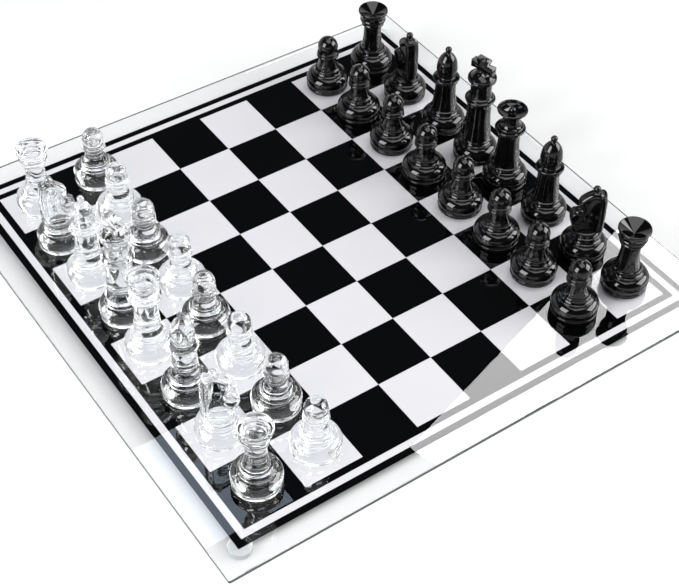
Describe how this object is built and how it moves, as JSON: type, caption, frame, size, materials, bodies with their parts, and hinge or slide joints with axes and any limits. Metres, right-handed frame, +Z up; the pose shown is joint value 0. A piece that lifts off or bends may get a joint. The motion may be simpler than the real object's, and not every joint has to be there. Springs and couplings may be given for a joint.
{
  "type": "glass chess set",
  "caption": "Glass chess set: square glass board with chequers printed underneath and round feet, and turned chessmen in clear and black glass that lift off.",
  "frame": {"origin": "on the table, under the middle of the board, at the bottom of the feet", "axes": "+Z up through the board; +X along the ranks, from the left to the right of the player of the clear men; +Y from the clear men to the black men"},
  "size_m": [0.35, 0.35, 0.0846],
  "materials": {
    "board_glass": "flat polished float glass, grey-green at the edge",
    "black_ink": "black ink printed under the glass",
    "white_ink": "white ink printed under the glass",
    "clear_foot": "soft clear bumper",
    "clear_glass": "fire-polished pressed clear glass",
    "black_glass": "fire-polished opaque black glass"
  },
  "bodies": {
    "board": {"glass_board": "board_glass", "black_print": "black_ink", "white_print": "white_ink", "foot_clear_left": "clear_foot", "foot_clear_right": "clear_foot", "foot_black_left": "clear_foot", "foot_black_right": "clear_foot"},
    "clear_rook_left_man": {"clear_rook_left": "clear_glass"},
    "clear_knight_left_man": {"clear_knight_left": "clear_glass"},
    "clear_bishop_left_man": {"clear_bishop_left": "clear_glass"},
    "clear_king_man": {"clear_king": "clear_glass"},
    "clear_queen_man": {"clear_queen": "clear_glass"},
    "clear_bishop_right_man": {"clear_bishop_right": "clear_glass"},
    "clear_knight_right_man": {"clear_knight_right": "clear_glass"},
    "clear_rook_right_man": {"clear_rook_right": "clear_glass"},
    "clear_pawn_1_man": {"clear_pawn_1": "clear_glass"},
    "clear_pawn_2_man": {"clear_pawn_2": "clear_glass"},
    "clear_pawn_3_man": {"clear_pawn_3": "clear_glass"},
    "clear_pawn_4_man": {"clear_pawn_4": "clear_glass"},
    "clear_pawn_5_man": {"clear_pawn_5": "clear_glass"},
    "clear_pawn_6_man": {"clear_pawn_6": "clear_glass"},
    "clear_pawn_7_man": {"clear_pawn_7": "clear_glass"},
    "clear_pawn_8_man": {"clear_pawn_8": "clear_glass"},
    "black_rook_left_man": {"black_rook_left": "black_glass"},
    "black_knight_left_man": {"black_knight_left": "black_glass"},
    "black_bishop_left_man": {"black_bishop_left": "black_glass"},
    "black_king_man": {"black_king": "black_glass"},
    "black_queen_man": {"black_queen": "black_glass"},
    "black_bishop_right_man": {"black_bishop_right": "black_glass"},
    "black_knight_right_man": {"black_knight_right": "black_glass"},
    "black_rook_right_man": {"black_rook_right": "black_glass"},
    "black_pawn_1_man": {"black_pawn_1": "black_glass"},
    "black_pawn_2_man": {"black_pawn_2": "black_glass"},
    "black_pawn_3_man": {"black_pawn_3": "black_glass"},
    "black_pawn_4_man": {"black_pawn_4": "black_glass"},
    "black_pawn_5_man": {"black_pawn_5": "black_glass"},
    "black_pawn_6_man": {"black_pawn_6": "black_glass"},
    "black_pawn_7_man": {"black_pawn_7": "black_glass"},
    "black_pawn_8_man": {"black_pawn_8": "black_glass"}
  },
  "joints": [
    {"name": "clear_rook_left_lift", "type": "slide", "parent": "board", "child": "clear_rook_left_man", "axis": [0, 0, 1], "range_m": [0, 0.1]},
    {"name": "clear_knight_left_lift", "type": "slide", "parent": "board", "child": "clear_knight_left_man", "axis": [0, 0, 1], "range_m": [0, 0.1]},
    {"name": "clear_bishop_left_lift", "type": "slide", "parent": "board", "child": "clear_bishop_left_man", "axis": [0, 0, 1], "range_m": [0, 0.1]},
    {"name": "clear_king_lift", "type": "slide", "parent": "board", "child": "clear_king_man", "axis": [0, 0, 1], "range_m": [0, 0.1]},
    {"name": "clear_queen_lift", "type": "slide", "parent": "board", "child": "clear_queen_man", "axis": [0, 0, 1], "range_m": [0, 0.1]},
    {"name": "clear_bishop_right_lift", "type": "slide", "parent": "board", "child": "clear_bishop_right_man", "axis": [0, 0, 1], "range_m": [0, 0.1]},
    {"name": "clear_knight_right_lift", "type": "slide", "parent": "board", "child": "clear_knight_right_man", "axis": [0, 0, 1], "range_m": [0, 0.1]},
    {"name": "clear_rook_right_lift", "type": "slide", "parent": "board", "child": "clear_rook_right_man", "axis": [0, 0, 1], "range_m": [0, 0.1]},
    {"name": "clear_pawn_1_lift", "type": "slide", "parent": "board", "child": "clear_pawn_1_man", "axis": [0, 0, 1], "range_m": [0, 0.1]},
    {"name": "clear_pawn_2_lift", "type": "slide", "parent": "board", "child": "clear_pawn_2_man", "axis": [0, 0, 1], "range_m": [0, 0.1]},
    {"name": "clear_pawn_3_lift", "type": "slide", "parent": "board", "child": "clear_pawn_3_man", "axis": [0, 0, 1], "range_m": [0, 0.1]},
    {"name": "clear_pawn_4_lift", "type": "slide", "parent": "board", "child": "clear_pawn_4_man", "axis": [0, 0, 1], "range_m": [0, 0.1]},
    {"name": "clear_pawn_5_lift", "type": "slide", "parent": "board", "child": "clear_pawn_5_man", "axis": [0, 0, 1], "range_m": [0, 0.1]},
    {"name": "clear_pawn_6_lift", "type": "slide", "parent": "board", "child": "clear_pawn_6_man", "axis": [0, 0, 1], "range_m": [0, 0.1]},
    {"name": "clear_pawn_7_lift", "type": "slide", "parent": "board", "child": "clear_pawn_7_man", "axis": [0, 0, 1], "range_m": [0, 0.1]},
    {"name": "clear_pawn_8_lift", "type": "slide", "parent": "board", "child": "clear_pawn_8_man", "axis": [0, 0, 1], "range_m": [0, 0.1]},
    {"name": "black_rook_left_lift", "type": "slide", "parent": "board", "child": "black_rook_left_man", "axis": [0, 0, 1], "range_m": [0, 0.1]},
    {"name": "black_knight_left_lift", "type": "slide", "parent": "board", "child": "black_knight_left_man", "axis": [0, 0, 1], "range_m": [0, 0.1]},
    {"name": "black_bishop_left_lift", "type": "slide", "parent": "board", "child": "black_bishop_left_man", "axis": [0, 0, 1], "range_m": [0, 0.1]},
    {"name": "black_king_lift", "type": "slide", "parent": "board", "child": "black_king_man", "axis": [0, 0, 1], "range_m": [0, 0.1]},
    {"name": "black_queen_lift", "type": "slide", "parent": "board", "child": "black_queen_man", "axis": [0, 0, 1], "range_m": [0, 0.1]},
    {"name": "black_bishop_right_lift", "type": "slide", "parent": "board", "child": "black_bishop_right_man", "axis": [0, 0, 1], "range_m": [0, 0.1]},
    {"name": "black_knight_right_lift", "type": "slide", "parent": "board", "child": "black_knight_right_man", "axis": [0, 0, 1], "range_m": [0, 0.1]},
    {"name": "black_rook_right_lift", "type": "slide", "parent": "board", "child": "black_rook_right_man", "axis": [0, 0, 1], "range_m": [0, 0.1]},
    {"name": "black_pawn_1_lift", "type": "slide", "parent": "board", "child": "black_pawn_1_man", "axis": [0, 0, 1], "range_m": [0, 0.1]},
    {"name": "black_pawn_2_lift", "type": "slide", "parent": "board", "child": "black_pawn_2_man", "axis": [0, 0, 1], "range_m": [0, 0.1]},
    {"name": "black_pawn_3_lift", "type": "slide", "parent": "board", "child": "black_pawn_3_man", "axis": [0, 0, 1], "range_m": [0, 0.1]},
    {"name": "black_pawn_4_lift", "type": "slide", "parent": "board", "child": "black_pawn_4_man", "axis": [0, 0, 1], "range_m": [0, 0.1]},
    {"name": "black_pawn_5_lift", "type": "slide", "parent": "board", "child": "black_pawn_5_man", "axis": [0, 0, 1], "range_m": [0, 0.1]},
    {"name": "black_pawn_6_lift", "type": "slide", "parent": "board", "child": "black_pawn_6_man", "axis": [0, 0, 1], "range_m": [0, 0.1]},
    {"name": "black_pawn_7_lift", "type": "slide", "parent": "board", "child": "black_pawn_7_man", "axis": [0, 0, 1], "range_m": [0, 0.1]},
    {"name": "black_pawn_8_lift", "type": "slide", "parent": "board", "child": "black_pawn_8_man", "axis": [0, 0, 1], "range_m": [0, 0.1]}
  ]
}
